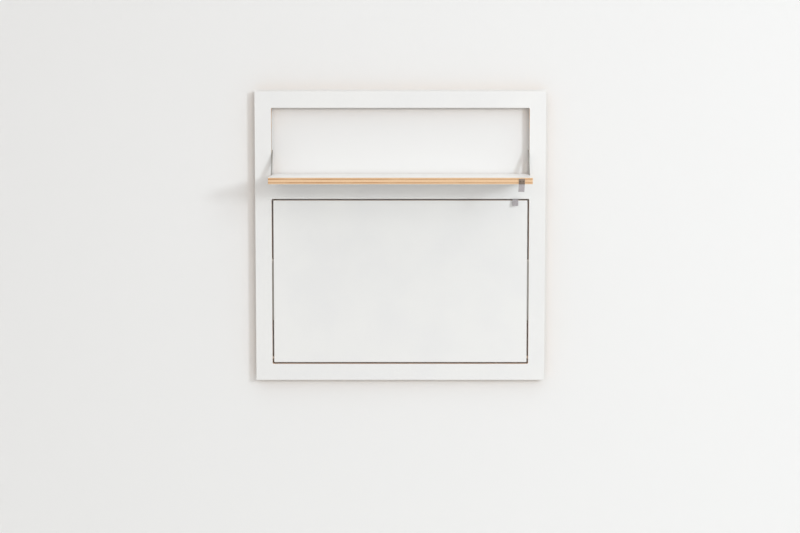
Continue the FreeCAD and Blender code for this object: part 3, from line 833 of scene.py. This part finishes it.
def make_wall():
    """A wall that only the room sees, and that doesn't darken the backs of what hangs on it.

    Whatever lies within BACK_REACH of it is lit, and mirrors the light, as if no wall were there.
    """
    shader, paint = painted("wall_paint", WALL_WHITE)
    from_behind = shader.add("NewGeometry", {}, output="Backfacing")
    passing = shader.math("MAXIMUM", shader.ray("Is Shadow Ray"), shader.ray("Is Glossy Ray"))
    near = shader.math("LESS_THAN", shader.ray("Ray Length"), BACK_REACH)
    see_through = shader.math("MAXIMUM", from_behind, shader.math("MULTIPLY", passing, near))
    clear = shader.add("BsdfTransparent", {})
    shader.end(shader.add("MixShader", {0: see_through, 1: paint, 2: clear}))
    left, right, y = -ROOM_HALF_WIDTH, ROOM_HALF_WIDTH, WALL_BEHIND
    foot = [(left, y, FLOOR_HEIGHT), (right, y, FLOOR_HEIGHT)]
    top = [(right, y, WALL_TOP), (left, y, WALL_TOP)]
    make_sheet("wall", foot + top, shader.material)


def make_floor():
    """A pale floor that runs on behind the wall, greyed by painted shade out in the room."""
    shader, paint = painted("floor_paint", FLOOR_WHITE, FLOOR_PAINTED_SHADE)
    shader.end(paint)
    left, right, z = -ROOM_HALF_WIDTH, ROOM_HALF_WIDTH, FLOOR_HEIGHT
    front = [(left, -ROOM_DEPTH, z), (right, -ROOM_DEPTH, z)]
    back = [(right, ROOM_DEPTH, z), (left, ROOM_DEPTH, z)]
    make_sheet("floor", front + back, shader.material)


# ---- light

WHITE = (1.0, 1.0, 1.0)
COOL = (0.93, 1.0, 1.06)
SOFT_LAMPS = (  # name, place, side of its square, power, colour
    ("key", (3.85, -4.8, 1.1), 0.8, 84, COOL),
    ("key_above", (3.85, -4.8, 2.4), 1.4, 38, COOL),
    ("fill_left", (-1.55, -4.8, 0.6), 1.0, 10, WHITE),
    ("fill_right", (1.55, -4.8, 0.6), 1.0, 26, WHITE),
)
BACK_PLACE = (-3.0, 3.6, -0.6)
BACK_POWER = 850
BACK_RADIUS = 0.26
BACK_CONE = math.radians(18)
REFLECTED_DEPTH = 1.5  # the ray depth is 1 at the surface that is seen, and 2 at what it reflects

# The world's light from the sides and from straight above, and what shows past the room
AROUND = (0.485, 0.45, 0.43, 1.0)
ABOVE = (1.56, 1.57, 1.56, 1.0)
BACKGROUND = (0.87, 0.87, 0.87, 1.0)


def add_lamp(name, kind, location, power):
    """A lamp that faces the middle of the desk and isn't seen itself."""
    lamp = bpy.data.lights.new(name, kind)
    lamp.energy = power
    holder = bpy.data.objects.new(name, lamp)
    holder.location = location
    towards = centre_of("frame") - Vector(location)
    holder.rotation_euler = towards.to_track_quat("-Z", "Y").to_euler()
    holder.visible_camera = False
    bpy.context.scene.collection.objects.link(holder)
    return lamp


def make_lamps():
    """Keys from the right, fills beside the camera, and a spot for the faces next to the wall."""
    for name, place, size, power, colour in SOFT_LAMPS:
        lamp = add_lamp(name, "AREA", place, power)
        lamp.size = size
        lamp.color = colour
    back = add_lamp("back", "SPOT", BACK_PLACE, BACK_POWER)
    back.shadow_soft_size = BACK_RADIUS
    back.spot_size = BACK_CONE
    back.use_nodes = True
    back.cycles.use_multiple_importance_sampling = False
    nodes = Nodes(back.node_tree)
    unreflected = nodes.math("LESS_THAN", nodes.ray("Ray Depth"), REFLECTED_DEPTH)
    nodes.feed(back.node_tree.nodes["Emission"], {"Strength": unreflected})


def make_world():
    """Soft light, stronger from above, and a pale background where rays see past the room."""
    world = bpy.data.worlds.new("room_light")
    world.use_nodes = True
    world.cycles.sampling_method = "NONE"
    nodes = Nodes(world.node_tree)
    seen = nodes.ray("Is Camera Ray")
    for sight in ("Is Glossy Ray", "Is Transmission Ray"):
        seen = nodes.math("MAXIMUM", seen, nodes.ray(sight))
    up = nodes.math("MAXIMUM", nodes.parts(nodes.place("Generated"))[Z], 0.0)
    light = nodes.blend(nodes.math("POWER", up, 2.0), AROUND, ABOVE)
    colour = nodes.blend(seen, light, BACKGROUND)
    nodes.feed(world.node_tree.nodes["Background"], {"Color": colour, "Strength": 1.0})
    bpy.context.scene.world = world


# ---- camera

CAMERA_PLACE = (-0.001, -4.512, 0.041)
CAMERA_PITCH = 4.8165  # degrees below the level
CAMERA_LENS = 73.49
CAMERA_SHIFT = -0.05


def make_camera():
    """A camera level with the frame's top edge, pitched down to the desk."""
    camera = bpy.data.cameras.new("camera")
    camera.lens = CAMERA_LENS
    camera.shift_y = CAMERA_SHIFT
    holder = bpy.data.objects.new("camera", camera)
    holder.location = CAMERA_PLACE
    holder.rotation_euler = (math.radians(90 - CAMERA_PITCH), 0, 0)
    bpy.context.scene.collection.objects.link(holder)
    bpy.context.scene.camera = holder


# ---- the whole

bpy.context.scene.view_settings.view_transform = "Standard"
make_camera()
make_wall()
make_floor()
make_lamps()
make_world()
finish_cad_parts()
make_pieces()
